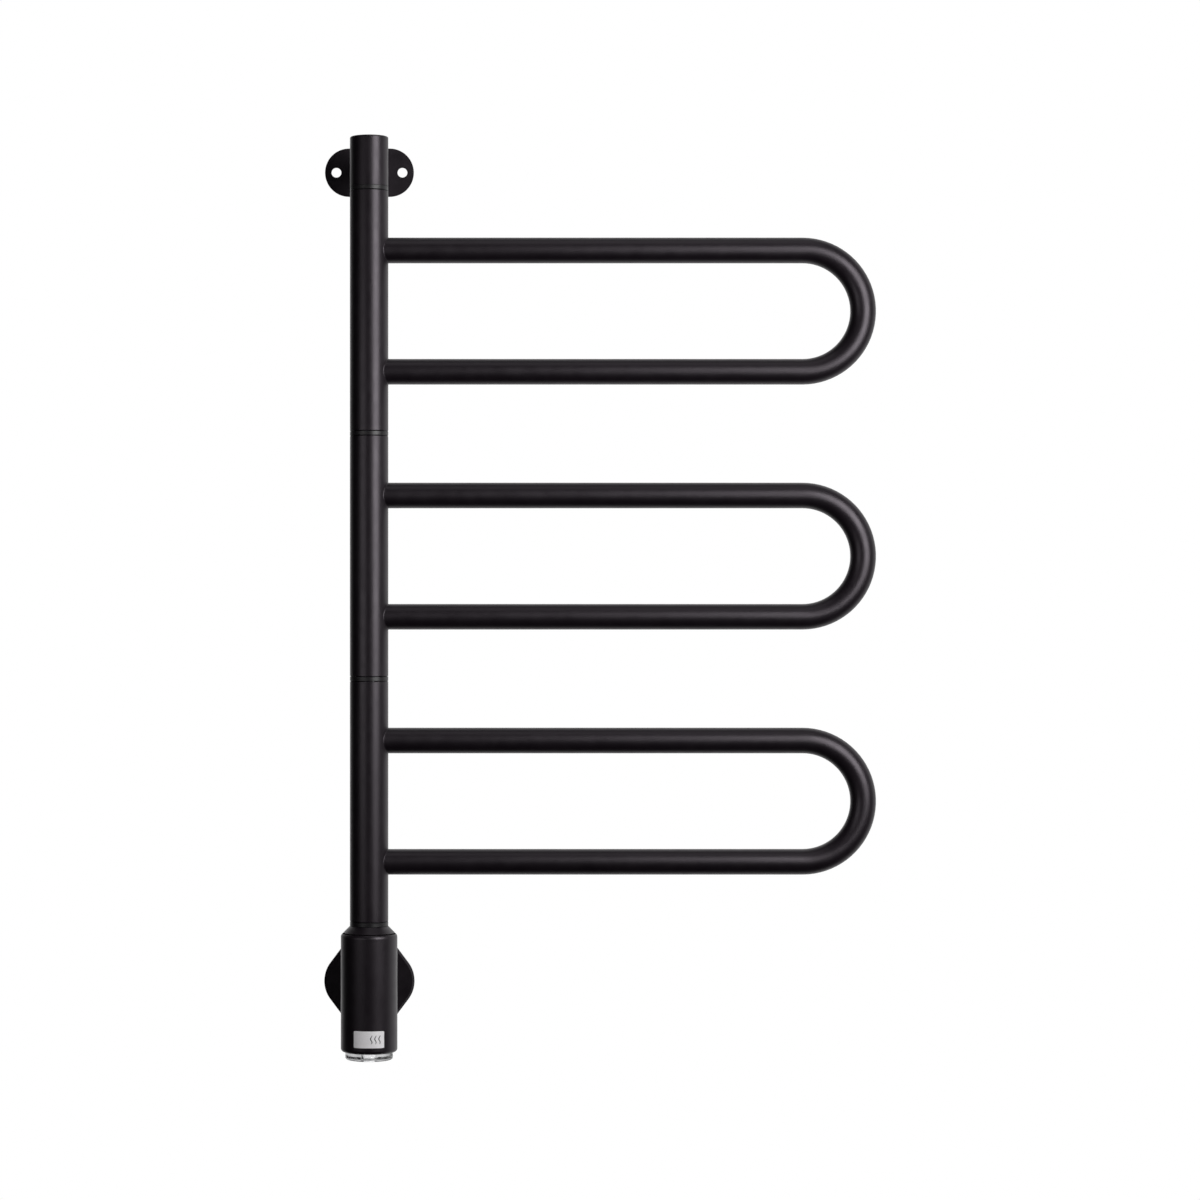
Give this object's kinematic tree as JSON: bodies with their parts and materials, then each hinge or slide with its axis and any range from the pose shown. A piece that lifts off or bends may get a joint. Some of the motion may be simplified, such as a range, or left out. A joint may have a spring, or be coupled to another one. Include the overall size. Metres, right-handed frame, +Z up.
{
  "type": "towel warmer rack",
  "caption": "Wall-mounted electric towel warmer: a slim post with swivelling U-shaped heated bars, a timer housing at its foot and a clear push button.",
  "frame": {"origin": "middle of the two screw holes of the top wall plate, on the wall plane", "axes": "+Z up, +Y into the wall, -Y towards the room, +X towards the bars at rest"},
  "size_m": [0.5526, 0.0906, 0.9222],
  "materials": {
    "black_coat": "satin black powder coat",
    "black_ring": "matt black moulded polymer",
    "brushed_plate": "brushed silver, left blank",
    "clear_acrylic": "clear polished acrylic",
    "white_diffuser": "white translucent diffuser",
    "plain_steel": "plain drawn steel",
    "zinc_hardware": "bright zinc plate",
    "spring_steel": "spring steel",
    "cast_block": "sand-blasted cast aluminium",
    "bush_polymer": "natural acetal",
    "heater_jacket": "red-brown silicone jacket",
    "silicone": "black silicone",
    "lead_sleeving": "natural fibre-glass sleeving",
    "black_plastic": "black moulded plastic",
    "board_laminate": "green solder mask",
    "terminal_plastic": "pale grey moulded plastic",
    "lamp_lens": "clear epoxy"
  },
  "bodies": {
    "root": {"board_carrier": "black_plastic", "cable_grommet": "silicone", "disc_spring": "spring_steel", "housing_screws": "zinc_hardware", "housing_shell": "black_coat", "indicator_lamps": "lamp_lens", "mast_block": "cast_block", "mast_nut": "zinc_hardware", "mast_tube": "plain_steel", "nameplate": "brushed_plate", "neck_collar": "black_coat", "plug_bush": "bush_polymer", "power_module": "black_plastic", "rear_spigot": "black_coat", "return_spring": "spring_steel", "rosette_seal": "silicone", "spacer_ring_1": "black_ring", "spacer_ring_2": "black_ring", "spacer_ring_3": "black_ring", "spacer_ring_4": "black_ring", "tact_switch": "black_plastic", "terminal_block": "terminal_plastic", "timer_board": "board_laminate", "top_cap": "black_coat", "top_post_section": "black_coat", "top_standoff": "black_coat", "top_wall_plate": "black_coat", "wall_base": "plain_steel", "wall_rosette": "black_coat", "wiring_harness": "lead_sleeving"},
    "arm_upper": {"sleeve_upper": "black_coat", "bar_tube_upper": "black_coat", "bush_upper_upper": "bush_polymer", "bush_upper_lower": "bush_polymer", "heater_cable_upper": "heater_jacket", "heater_plugs_upper": "silicone", "service_loop_upper": "lead_sleeving"},
    "arm_middle": {"sleeve_middle": "black_coat", "bar_tube_middle": "black_coat", "bush_middle_upper": "bush_polymer", "bush_middle_lower": "bush_polymer", "heater_cable_middle": "heater_jacket", "heater_plugs_middle": "silicone", "service_loop_middle": "lead_sleeving"},
    "arm_lower": {"sleeve_lower": "black_coat", "bar_tube_lower": "black_coat", "bush_lower_upper": "bush_polymer", "bush_lower_lower": "bush_polymer", "heater_cable_lower": "heater_jacket", "heater_plugs_lower": "silicone", "service_loop_lower": "lead_sleeving"},
    "button": {"push_button": "clear_acrylic", "light_guide": "white_diffuser"}
  },
  "joints": [
    {"name": "swivel_upper", "type": "hinge", "parent": "root", "child": "arm_upper", "pos_m": [0, -0.062, -0.14625], "axis": [0, 0, -1], "range_deg": [0, 180]},
    {"name": "swivel_middle", "type": "hinge", "parent": "root", "child": "arm_middle", "pos_m": [0, -0.062, -0.39125], "axis": [0, 0, -1], "range_deg": [0, 180]},
    {"name": "swivel_lower", "type": "hinge", "parent": "root", "child": "arm_lower", "pos_m": [0, -0.062, -0.63625], "axis": [0, 0, -1], "range_deg": [0, 180]},
    {"name": "button_press", "type": "slide", "parent": "root", "child": "button", "axis": [0, 0, 1], "range_m": [0, 0.002], "stiffness_N_per_m": 400, "springref_m": -0.004, "deforming": ["return_spring"]}
  ]
}
